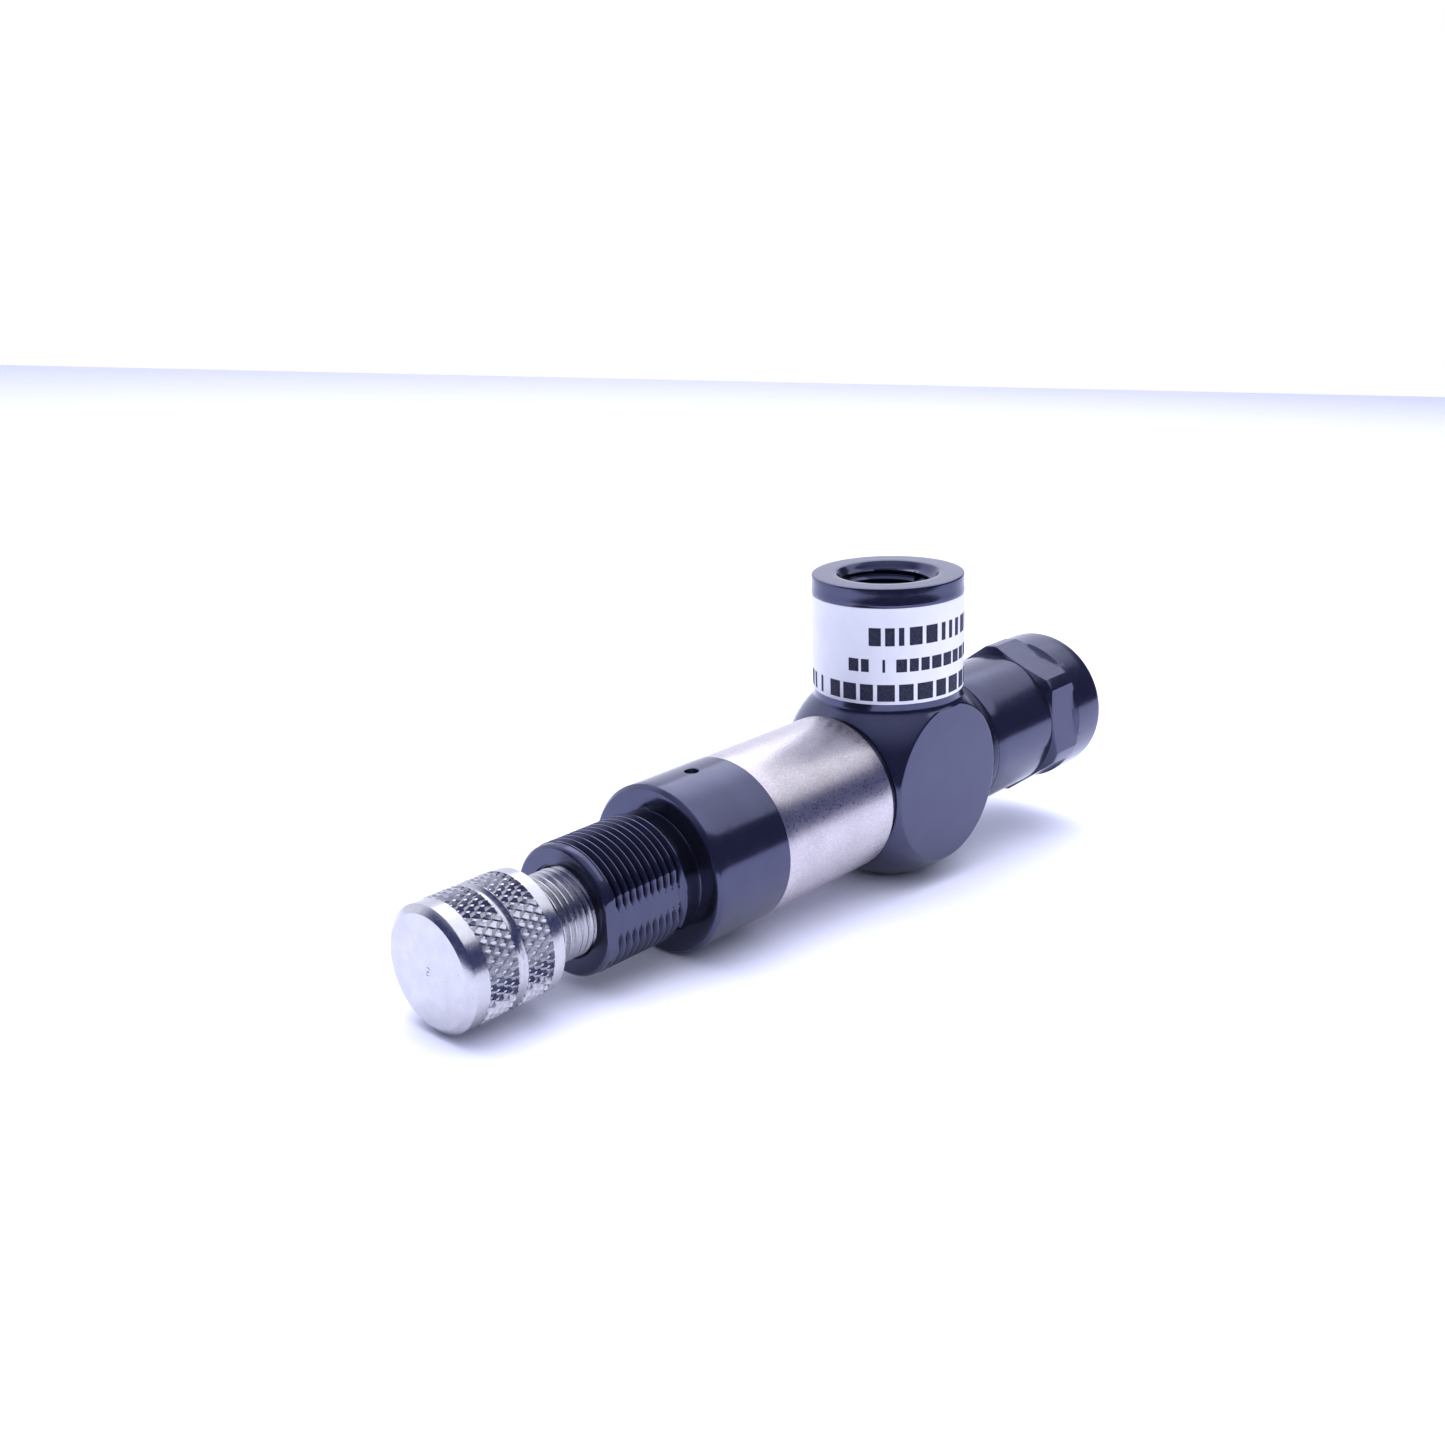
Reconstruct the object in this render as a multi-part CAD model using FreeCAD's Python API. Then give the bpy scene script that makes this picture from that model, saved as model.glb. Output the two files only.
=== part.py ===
import FreeCAD, Part
import math
import os

# Miniature panel-mount pressure-setting valve with a swivelling side port.
# Millimetres.  The valve axis is X: the knob is at -X, the inlet at +X.
# The origin lies on the axis, on the shoulder that meets the panel.
# The side port points along +Z.

os.makedirs("parts", exist_ok=True)
V = FreeCAD.Vector

# Knob and adjusting screw, one turned piece
knob_face = -25.16
knob_rear = -15.57
knob_r = 5.51
knob_face_r = 4.86
knob_chamfer = 0.46
knob_groove_x = -19.96
knob_groove_w = 0.70
knob_groove_r = 5.10
screw_r = 3.95
screw_relief_r = 3.55
screw_relief_end = -14.75
screw_end = 1.90

# Thrust ball and spring button
ball_r = 1.50
ball_x = 2.35
ball_pocket_gap = 0.02
button_r = 5.10
button_front = 2.80
button_back = 4.80
button_pilot_r = 2.90
button_pilot_end = 7.20

# Bonnet with the panel neck
neck_front = -11.04
neck_r = 5.953
neck_face_r = 5.62
neck_lead = 0.25
neck_flat = 5.57
neck_flat_end = -2.90
body_r = 7.94
shoulder_bevel = 0.35
bonnet_end = 9.33
spigot_r = 6.90
spigot_end = 13.40
screw_bore_r = 4.00
screw_bore_end = 1.20
screw_bore_sink = 0.30
spring_chamber_r = 5.30
vent_x = 5.18
vent_r = 0.65

# Range spring
spring_mean_r = 4.00
spring_wire = 1.10
spring_turns = 4.2

# Cylinder sleeve
sleeve_r = 7.88
sleeve_end = 24.76
cylinder_r = 6.50
cylinder_end = 20.20
stem_thread_r = 5.00
seal_pocket_r = 6.40
seal_pocket_start = 23.40

# Piston, its seal, its guide band and the relief seat
piston_r = 6.45
piston_front = 14.80
piston_back = 18.60
piston_groove_r = 4.90
piston_groove_start = 16.30
piston_groove_end = 17.95
piston_seal_cord = 0.78
band_start = 15.10
band_end = 15.90
band_inner_r = 5.90
band_outer_r = 6.47
piston_pilot_r = 3.15
piston_pilot_front = 13.30
relief_hole_r = 0.90
relief_seat_r = 2.00
relief_seat_t = 1.00
relief_seat_hole_r = 0.50

# Port body: a ball with a boss on top and flats on the sides
port_x = 34.30
port_ball_r = 11.11
port_face = 8.35
port_side = 7.61
port_bottom = 10.55
boss_r = 7.54
port_top = 20.68
port_bevel = 0.15
journal_bore_r = 5.60
gallery_r = 7.00
gallery_half = 3.00
swivel_groove_r = 6.92
swivel_groove_half = 0.90
swivel_groove_offset = 5.70
swivel_cord = 0.66
thread_r = 4.35
port_sink_r = 5.18
port_sink_depth = 0.80
port_thread_depth = 8.10
passage_r = 2.80

# Label band around the boss
label_bottom = 9.10
label_top = 18.76
label_t = 0.12

# Thrust washers each side of the port body
washer_gap = 0.02
washer_inner_r = 5.60
washer_outer_r = 7.25

# Inlet fitting: thread end, journal, barrel, wrench flats and inlet port
stem_tip = 20.40
journal_r = 5.55
barrel_start = 43.84
barrel_r = 7.40
wrench_start = 54.12
wrench_lead = 0.38
wrench_end = 58.90
wrench_r = 8.30
fitting_end = 63.50
fitting_r = 7.95
flat_distance = 7.50
flat_tilt = 7.0
fitting_chamfer = 0.50
inlet_sink_depth = 0.80
inlet_thread_depth = 8.20
filter_pocket_r = 3.90
filter_pocket_end = 51.00
inlet_bore_r = 2.75
poppet_bore_end = 23.20
seat_pocket_r = 3.40
drill_r = 0.45
drill_circle_r = 4.12
drill_end = 35.00
cross_drill_r = 0.60

# Valve seat, poppet, poppet spring and what retains them
seat_hole_r = 1.50
seat_lip_r = 1.85
seat_lip = 0.30
poppet_stem_r = 0.80
poppet_tip = 18.62
poppet_head_r = 2.20
poppet_seal_start = 23.52
poppet_seal_end = 24.32
poppet_head_end = 26.20
poppet_tail_r = 1.00
poppet_tail_end = 28.60
poppet_spring_mean_r = 1.55
poppet_spring_wire = 0.36
poppet_spring_turns = 6.0
retainer_start = 32.60
retainer_end = 34.60
retainer_hole_r = 0.55
retainer_hole_circle_r = 1.60

# Inlet filter and its snap ring
filter_start = 51.02
filter_end = 53.20
snap_ring_end = 53.80
snap_ring_inner_r = 3.10
snap_ring_outer_r = 4.10
snap_ring_gap = 2.20

X = V(1, 0, 0)
Z = V(0, 0, 1)


def rod(x0, x1, r):
    """A round bar along the valve axis."""
    return Part.makeCylinder(r, x1 - x0, V(x0, 0, 0), X)


def tube(x0, x1, r_out, r_in):
    """A ring along the valve axis."""
    return rod(x0, x1, r_out).cut(rod(x0 - 1, x1 + 1, r_in))


def turned(profile):
    """A solid turned about the valve axis from (x, radius) corners."""
    points = [V(x, 0, r) for x, r in profile]
    wire = Part.makePolygon(points + [points[0]])
    return Part.Face(wire).revolve(V(0, 0, 0), X, 360)


def upright(x, z0, z1, r, y=0.0):
    """A round bar along +Z."""
    return Part.makeCylinder(r, z1 - z0, V(x, y, z0), Z)


def o_ring(x, centre_r, cord_r):
    """A ring of round cord around the valve axis."""
    return Part.makeTorus(centre_r, cord_r, V(x, 0, 0), X)


def coil(x0, x1, mean_r, wire, turns):
    """A compression spring lying between two planes."""
    height = x1 - x0 - wire
    path = Part.makeHelix(height / turns, height, mean_r)
    section = Part.Wire([Part.makeCircle(wire / 2, V(mean_r, 0, 0), V(0, 1, 0))])
    spring = Part.Wire(path.Edges).makePipeShell([section], True, True)
    spring.rotate(V(0, 0, 0), V(0, 1, 0), 90)
    spring.translate(V(x0 + wire / 2, 0, 0))
    return spring


def around(shape, angle):
    """The same shape turned about the valve axis."""
    copy = shape.copy()
    copy.rotate(V(0, 0, 0), X, angle)
    return copy


def save(node, shape):
    shape.exportStep("parts/" + node + ".step")


def adjusting_knob():
    half = knob_groove_w / 2
    body = turned([
        (knob_face, 0),
        (knob_face, knob_face_r),
        (knob_face + knob_chamfer, knob_r),
        (knob_groove_x - half, knob_r),
        (knob_groove_x - half, knob_groove_r),
        (knob_groove_x + half, knob_groove_r),
        (knob_groove_x + half, knob_r),
        (knob_rear - 0.15, knob_r),
        (knob_rear, knob_r - 0.15),
        (knob_rear, screw_relief_r),
        (screw_relief_end, screw_relief_r),
        (screw_relief_end + 0.25, screw_r),
        (screw_end - 0.50, screw_r),
        (screw_end, screw_r - 0.50),
        (screw_end, 0),
    ])
    pocket = Part.makeSphere(ball_r + ball_pocket_gap, V(ball_x, 0, 0))
    centre_mark = Part.makeCone(0.32, 0.05, 0.30, V(knob_face, 0, 0), X)
    return body.cut(pocket).cut(centre_mark)


def spring_button():
    body = turned([
        (button_front, 0),
        (button_front, button_r - 0.3),
        (button_front + 0.3, button_r),
        (button_back, button_r),
        (button_back, button_pilot_r),
        (button_pilot_end - 0.4, button_pilot_r),
        (button_pilot_end, button_pilot_r - 0.4),
        (button_pilot_end, 0),
    ])
    return body.cut(Part.makeSphere(ball_r, V(ball_x, 0, 0)))


def bonnet():
    body = turned([
        (neck_front, screw_bore_r + screw_bore_sink),
        (neck_front, neck_face_r),
        (neck_front + neck_lead, neck_r),
        (neck_flat_end, neck_r),
        (0, neck_r),
        (0, body_r - shoulder_bevel),
        (shoulder_bevel, body_r),
        (bonnet_end, body_r),
        (bonnet_end, spigot_r),
        (spigot_end, spigot_r),
        (spigot_end, spring_chamber_r),
        (screw_bore_end, spring_chamber_r),
        (screw_bore_end, screw_bore_r),
        (neck_front + screw_bore_sink, screw_bore_r),
    ])
    length = neck_flat_end - neck_front + 0.5
    flat = Part.makeBox(length, 2, 12, V(neck_front - 0.5, -neck_flat - 2, -6))
    vent = upright(vent_x, 4.0, body_r + 1, vent_r)
    return body.cut(flat).cut(vent)


def cylinder_sleeve():
    return turned([
        (bonnet_end, spigot_r),
        (bonnet_end, sleeve_r - 0.10),
        (bonnet_end + 0.10, sleeve_r),
        (sleeve_end - 0.15, sleeve_r),
        (sleeve_end, sleeve_r - 0.15),
        (sleeve_end, seal_pocket_r),
        (seal_pocket_start, seal_pocket_r),
        (seal_pocket_start, stem_thread_r),
        (cylinder_end, stem_thread_r),
        (cylinder_end, cylinder_r),
        (spigot_end, cylinder_r),
        (spigot_end, spigot_r),
    ])


def piston():
    return turned([
        (piston_pilot_front, relief_hole_r),
        (piston_pilot_front, piston_pilot_r - 0.4),
        (piston_pilot_front + 0.4, piston_pilot_r),
        (piston_front, piston_pilot_r),
        (piston_front, piston_r),
        (band_start, piston_r),
        (band_start, band_inner_r),
        (band_end, band_inner_r),
        (band_end, piston_r),
        (piston_groove_start, piston_r),
        (piston_groove_start, piston_groove_r),
        (piston_groove_end, piston_groove_r),
        (piston_groove_end, piston_r),
        (piston_back, piston_r),
        (piston_back, relief_seat_r),
        (piston_back - relief_seat_t, relief_seat_r),
        (piston_back - relief_seat_t, relief_hole_r),
    ])


def port_body():
    ball = Part.makeSphere(port_ball_r, V(port_x, 0, 0))
    height = port_ball_r + port_bottom
    limits = Part.makeBox(2 * port_face, 2 * port_side, height,
                          V(port_x - port_face, -port_side, -port_bottom))
    edge = port_top - port_bevel
    boss = upright(port_x, 5, edge, boss_r)
    rim = Part.makeCone(boss_r, boss_r - port_bevel, port_bevel, V(port_x, 0, edge), Z)
    body = ball.common(limits).fuse(boss).fuse(rim)
    cuts = [
        rod(port_x - 12, port_x + 12, journal_bore_r),
        rod(port_x - gallery_half, port_x + gallery_half, gallery_r),
        upright(port_x, 0, port_top - port_thread_depth, passage_r),
        upright(port_x, port_top - port_thread_depth, port_top + 1, thread_r),
        Part.makeCone(thread_r, port_sink_r, port_sink_depth, V(port_x, 0, port_top - port_sink_depth), Z),
    ]
    for side in (-1, 1):
        middle = port_x + side * swivel_groove_offset
        cuts.append(rod(middle - swivel_groove_half, middle + swivel_groove_half, swivel_groove_r))
    for cut in cuts:
        body = body.cut(cut)
    return body


def label_band():
    outer = upright(port_x, label_bottom, label_top, boss_r + label_t)
    return outer.cut(upright(port_x, label_bottom - 1, label_top + 1, boss_r))


def wrench_flats():
    """The six pieces milled away to leave the wrench flats."""
    length = wrench_end - wrench_start
    slab = Part.makeBox(length + 1, 20, 5, V(wrench_start - 1, -10, flat_distance))
    return [around(slab, 90 - flat_tilt + 60 * k) for k in range(6)]


def inlet_fitting():
    sink_r = port_sink_r
    mouth = fitting_end - inlet_thread_depth
    body = turned([
        (stem_tip, seat_pocket_r),
        (stem_tip, stem_thread_r - 0.3),
        (stem_tip + 0.3, stem_thread_r),
        (sleeve_end, stem_thread_r),
        (sleeve_end, journal_r),
        (barrel_start, journal_r),
        (barrel_start, barrel_r - 0.15),
        (barrel_start + 0.15, barrel_r),
        (wrench_start, barrel_r),
        (wrench_start + wrench_lead, wrench_r),
        (wrench_end - wrench_r + fitting_r, wrench_r),
        (wrench_end, fitting_r),
        (fitting_end - fitting_chamfer, fitting_r),
        (fitting_end, fitting_r - fitting_chamfer),
        (fitting_end, sink_r),
        (fitting_end - inlet_sink_depth, thread_r),
        (mouth, thread_r),
        (mouth, filter_pocket_r),
        (snap_ring_end, filter_pocket_r),
        (snap_ring_end, snap_ring_outer_r),
        (filter_end, snap_ring_outer_r),
        (filter_end, filter_pocket_r),
        (filter_pocket_end, filter_pocket_r),
        (filter_pocket_end, inlet_bore_r),
        (poppet_bore_end, inlet_bore_r),
        (poppet_bore_end, seat_pocket_r),
    ])
    for slab in wrench_flats():
        body = body.cut(slab)
    drill = Part.makeCylinder(drill_r, drill_end - stem_tip + 1, V(stem_tip - 1, 0, drill_circle_r), X)
    cross = upright(port_x, drill_circle_r, journal_r + 1, cross_drill_r)
    for k in range(4):
        body = body.cut(around(drill, 45 + 90 * k)).cut(around(cross, 45 + 90 * k))
    return body


def seat_insert():
    return turned([
        (stem_tip, seat_hole_r),
        (stem_tip, seat_pocket_r),
        (poppet_bore_end, seat_pocket_r),
        (poppet_bore_end, seat_lip_r + 0.2),
        (poppet_bore_end + seat_lip, seat_lip_r),
        (poppet_bore_end + seat_lip, seat_hole_r),
    ])


def poppet():
    return turned([
        (poppet_tip, 0),
        (poppet_tip, poppet_stem_r),
        (poppet_seal_end, poppet_stem_r),
        (poppet_seal_end, poppet_head_r),
        (poppet_head_end, poppet_head_r),
        (poppet_head_end, poppet_tail_r),
        (poppet_tail_end - 0.3, poppet_tail_r),
        (poppet_tail_end, poppet_tail_r - 0.3),
        (poppet_tail_end, 0),
    ])


def spring_retainer():
    plug = rod(retainer_start, retainer_end, inlet_bore_r)
    hole = Part.makeCylinder(retainer_hole_r, 4, V(retainer_start - 1, 0, retainer_hole_circle_r), X)
    plug = plug.cut(rod(retainer_start - 1, retainer_end + 1, retainer_hole_r))
    for k in range(4):
        plug = plug.cut(around(hole, 90 * k))
    return plug


def snap_ring():
    ring = tube(filter_end, snap_ring_end, snap_ring_outer_r, snap_ring_inner_r)
    gap = Part.makeBox(2, snap_ring_gap, 6, V(filter_end - 0.5, -snap_ring_gap / 2, 0))
    return ring.cut(gap)


piston_seal_x = (piston_groove_start + piston_groove_end) / 2
piston_seal_centre = piston_groove_r + piston_seal_cord
sleeve_seal_x = (seal_pocket_start + sleeve_end) / 2
sleeve_seal_centre = (stem_thread_r + seal_pocket_r) / 2
sleeve_seal_cord = (sleeve_end - seal_pocket_start) / 2
swivel_centre = swivel_groove_r - swivel_cord - 0.01
port_front = port_x - port_face
port_back = port_x + port_face

save("adjusting_knob", adjusting_knob())
save("thrust_ball", Part.makeSphere(ball_r, V(ball_x, 0, 0)))
save("spring_button", spring_button())
save("range_spring", coil(button_back, piston_front, spring_mean_r, spring_wire, spring_turns))
save("bonnet", bonnet())
save("cylinder_sleeve", cylinder_sleeve())
save("piston", piston())
save("piston_guide_band", tube(band_start, band_end, band_outer_r, band_inner_r))
save("piston_seal", o_ring(piston_seal_x, piston_seal_centre, piston_seal_cord))
save("relief_seat", tube(piston_back - relief_seat_t, piston_back, relief_seat_r, relief_seat_hole_r))
save("sleeve_seal", o_ring(sleeve_seal_x, sleeve_seal_centre, sleeve_seal_cord))
save("front_thrust_washer", tube(sleeve_end + washer_gap, port_front - washer_gap,
                                 washer_outer_r, washer_inner_r))
save("rear_thrust_washer", tube(port_back + washer_gap, barrel_start - washer_gap,
                                washer_outer_r, washer_inner_r))
save("front_swivel_seal", o_ring(port_x - swivel_groove_offset, swivel_centre, swivel_cord))
save("rear_swivel_seal", o_ring(port_x + swivel_groove_offset, swivel_centre, swivel_cord))
save("port_body", port_body())
save("label_band", label_band())
save("inlet_fitting", inlet_fitting())
save("seat_insert", seat_insert())
save("poppet", poppet())
save("poppet_seal", tube(poppet_seal_start, poppet_seal_end, poppet_head_r, poppet_stem_r))
save("poppet_spring", coil(poppet_head_end, retainer_start, poppet_spring_mean_r,
                           poppet_spring_wire, poppet_spring_turns))
save("spring_retainer", spring_retainer())
save("inlet_filter", rod(filter_start, filter_end, filter_pocket_r))
save("filter_snap_ring", snap_ring())
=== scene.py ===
import math

import bmesh
import bpy
import numpy as np
from mathutils import Matrix, Vector
from mathutils.geometry import delaunay_2d_cdt


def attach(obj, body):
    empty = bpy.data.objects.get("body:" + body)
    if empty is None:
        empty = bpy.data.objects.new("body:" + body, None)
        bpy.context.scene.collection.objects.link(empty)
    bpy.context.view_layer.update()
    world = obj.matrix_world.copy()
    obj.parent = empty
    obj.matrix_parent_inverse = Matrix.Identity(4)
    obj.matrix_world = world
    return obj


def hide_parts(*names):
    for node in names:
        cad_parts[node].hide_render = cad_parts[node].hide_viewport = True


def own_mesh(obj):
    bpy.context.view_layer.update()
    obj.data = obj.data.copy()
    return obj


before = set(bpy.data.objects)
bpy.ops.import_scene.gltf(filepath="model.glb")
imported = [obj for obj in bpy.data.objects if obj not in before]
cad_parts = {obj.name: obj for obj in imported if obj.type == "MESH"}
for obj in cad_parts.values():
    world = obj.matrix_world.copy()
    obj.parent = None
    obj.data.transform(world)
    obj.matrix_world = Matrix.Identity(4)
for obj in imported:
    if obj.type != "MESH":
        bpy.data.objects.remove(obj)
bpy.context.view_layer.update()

MM = 0.001
TAU = 2 * math.pi

# Sizes in millimetres, in the row frame: X is the valve axis, Z the side port.

# Knob and its screw
KNOB_FACE, KNOB_REAR, KNOB_LAND_R, KNOB_EDGE_R = -25.16, -15.57, 5.47, 4.82
FRONT_BAND, REAR_BAND, BAND_FOOT_R = (-23.34, -20.44), (-19.48, -16.78), 5.43
KNURL_CREST_R, KNURL_DEPTH, KNURL_TEETH, KNURL_CELL = 5.51, 0.27, 40, 0.75
GROOVE_X, GROOVE_R = -19.96, 5.04
SCREW_R, SCREW_ROOT, SCREW_PITCH = 3.95, 3.58, 0.635
SCREW_START, SCREW_SHANK, SCREW_TIP = -14.95, -3.0, 1.9

# Bonnet
NECK_FRONT, NECK_R, NECK_ROOT, NECK_PITCH = -11.04, 5.95, 5.48, 0.794
NECK_START, NECK_END, RUNOUT_R, LEAD_R = -10.2, -1.95, 5.60, 5.87
NECK_FLAT, FLAT_END = 5.44, -2.4
BODY_R, SEAM = 7.94, 9.33
SCREW_BORE_R, SPRING_BORE_R, SPIGOT_R, SPIGOT_END = 4.0, 5.3, 6.9, 13.4
VENT_X, VENT_R = 5.18, 0.65

# Sleeve and washers
SLEEVE_R, SLEEVE_END, CYLINDER_R = 7.88, 24.76, 6.5
JOURNAL_R, WASHER_GAP = 5.60, 0.02
FRONT_WASHER_R, REAR_WASHER_R = 7.25, 7.36

# Ball, boss and side port
PORT_X, BALL_R, FACE_X, SIDE_Y, BOTTOM_Z = 34.30, 11.11, 8.35, 7.61, 10.55
BOSS_R, PORT_TOP, RING_Z, RING_R = 7.54, 20.68, 18.80, 7.62
SEAL_GROOVE_R, GALLERY_R, PASSAGE_R = 6.92, 7.0, 2.8

# Label
LABEL_Z0, LABEL_Z1, LABEL_T, LAP_T = 9.10, 18.76, 0.12, 0.055

# Inlet fitting
BARREL_X, BARREL_R, END_X, END_R = 43.84, 7.40, 63.50, 7.95
HEX_X, HEX_END, HEX_R, FLAT_D, FLAT_TILT, FLAT_RISE = 54.12, 58.90, 8.30, 7.50, 7.0, 0.55
FILTER_X, FILTER_FACE, FILTER_R, INLET_FLOOR = 51.0, 53.2, 3.9, 55.3

# Both ports' pipe thread and countersink
PIPE_ROOT, PIPE_CREST, PIPE_PITCH, SINK_DEPTH = 4.72, 4.35, 0.941, 0.72


# ---------------------------------------------------------------- mesh tools

class Skin:
    """Points in millimetres and the faces between them, gathered piece by piece."""

    def __init__(self):
        self.points, self.faces, self.count = [], [], 0

    def add(self, points, faces):
        points = np.asarray(points, float).reshape(-1, 3)
        self.points.append(points)
        self.faces += [tuple(int(k) + self.count for k in f) for f in faces]
        self.count += len(points)

    def build(self, name, body, node, sharp=30.0, weld=2e-7):
        mesh = bpy.data.meshes.new(name)
        mesh.from_pydata((np.concatenate(self.points) * MM).tolist(), [], self.faces)
        bm = bmesh.new()
        bm.from_mesh(mesh)
        bmesh.ops.remove_doubles(bm, verts=bm.verts, dist=weld)
        bmesh.ops.dissolve_degenerate(bm, edges=bm.edges, dist=weld)
        bm.to_mesh(mesh)
        bm.free()
        piece = bpy.data.objects.new(name, mesh)
        bpy.context.scene.collection.objects.link(piece)
        smooth(piece, sharp)
        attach(piece, body)
        if node:
            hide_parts(node)
        return piece


def smooth(piece, sharp=30.0):
    """Smooth faces with sharp edges, and normals that keep flat faces flat."""
    mesh = piece.data
    mesh.polygons.foreach_set("use_smooth", [True] * len(mesh.polygons))
    mesh.set_sharp_from_angle(angle=math.radians(sharp))
    if not any(m.type == "WEIGHTED_NORMAL" for m in piece.modifiers):
        weighted = piece.modifiers.new("weighted", "WEIGHTED_NORMAL")
        weighted.keep_sharp = True


def strip_faces(rows, cols):
    """Quads of a grid whose columns close on themselves."""
    i, j = np.meshgrid(np.arange(rows - 1), np.arange(cols), indexing="ij")
    k = (j + 1) % cols
    quads = np.stack([i * cols + j, i * cols + k, (i + 1) * cols + k, (i + 1) * cols + j], -1)
    return quads.reshape(-1, 4)


def to_space(along, radius, angle, axis, origin):
    """Points from (along, radius, angle) about an axis through origin."""
    along, radius, angle = np.broadcast_arrays(along, radius, angle)
    c, s = radius * np.cos(angle), radius * np.sin(angle)
    if axis == "X":
        p = np.stack([along, c, s], -1)
    else:
        p = np.stack([c, s, along], -1)
    return p + np.asarray(origin, float)


def lathe(skin, profile, cols, axis="X", origin=(0, 0, 0), shape=None):
    """Turns a profile of (along, radius). cols is a number of columns or their angles.
    shape(along, radius, angle) may change the radius round the turn."""
    profile = np.array(profile, float)
    angle = np.arange(cols) * TAU / cols if np.isscalar(cols) else np.asarray(cols)
    along = profile[:, :1] + 0 * angle
    radius = profile[:, 1:] + 0 * angle
    if shape:
        radius = shape(along, radius, angle)
    skin.add(to_space(along, radius, angle, axis, origin), strip_faces(len(profile), len(angle)))


THREAD_FORM = ((-0.055, 0.0), (0.055, 0.0), (0.38, 0.90), (0.45, 1.0), (0.55, 1.0), (0.62, 0.90))


def helix(skin, start, end, pitch, crest, root, cols, axis="X", origin=(0, 0, 0),
          shape=None, edges=(None, None), fade=(0.2, 0.4), inside=False):
    """A right-hand thread between two planes. The rows follow the helix, so the
    crest stays crisp. edges are the radii where it meets its neighbours."""
    angle = np.arange(cols) * TAU / cols
    first = math.floor((start - pitch) / pitch) - 1
    last = math.ceil(end / pitch) + 1
    rows = [(k + ph, h) for k in range(first, last) for ph, h in THREAD_FORM]
    s = np.array([r[0] for r in rows])[:, None] * pitch
    h = np.array([r[1] for r in rows])[:, None]
    along = s + pitch * angle / TAU
    depth = np.clip((along - start) / fade[0], 0, 1) * np.clip((end - along) / fade[1], 0, 1)
    radius = crest + (root - crest) * h * depth
    before, after = along <= start, along >= end
    if edges[0] is not None:
        radius = np.where(before, edges[0], radius)
    if edges[1] is not None:
        radius = np.where(after, edges[1], radius)
    along = np.clip(along, start, end)
    if shape:
        radius = shape(along, radius, angle)
    n, turn = len(rows), len(THREAD_FORM)
    faces = []
    for i in range(n - 1):
        for j in range(cols):
            a, b = (i, j), (i + 1, j)
            c, d = ((i + 1, j + 1), (i, j + 1)) if j + 1 < cols else ((i + 1 - turn, 0), (i - turn, 0))
            if c[0] < 0 or d[0] < 0:
                continue
            ids = [r * cols + q for r, q in (a, d, c, b)]
            if all(before[r, q] for r, q in (a, b, c, d)) or all(after[r, q] for r, q in (a, b, c, d)):
                continue
            faces.append(ids[::-1] if inside else ids)
    skin.add(to_space(along, radius, angle, axis, origin), faces)


def arc(a, b, corner, steps=3):
    """Points from a to b that round off a corner."""
    t = np.linspace(0, 1, steps + 1)[:, None]
    a, b, c = (np.array(v, float) for v in (a, b, corner))
    return ((1 - t) ** 2 * a + 2 * t * (1 - t) * c + t ** 2 * b).tolist()


def rounded(profile, sizes, steps=3):
    """A profile with its corners rounded. sizes maps a corner's index to how far back."""
    out = []
    for k, p in enumerate(profile):
        size = sizes.get(k, 0)
        if not size:
            out.append(list(p))
            continue
        p = np.array(p, float)
        back = np.array(profile[k - 1], float) - p
        on = np.array(profile[k + 1], float) - p
        a = p + back / np.linalg.norm(back) * size
        b = p + on / np.linalg.norm(on) * size
        out += arc(a, b, p, steps)
    return out


def spread(a, b, n):
    """Rows between two profile points, ends left out."""
    t = np.linspace(0, 1, n + 2)[1:-1, None]
    return (np.array(a) + t * (np.array(b) - np.array(a))).tolist()


# ---------------------------------------------------------------- materials

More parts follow.
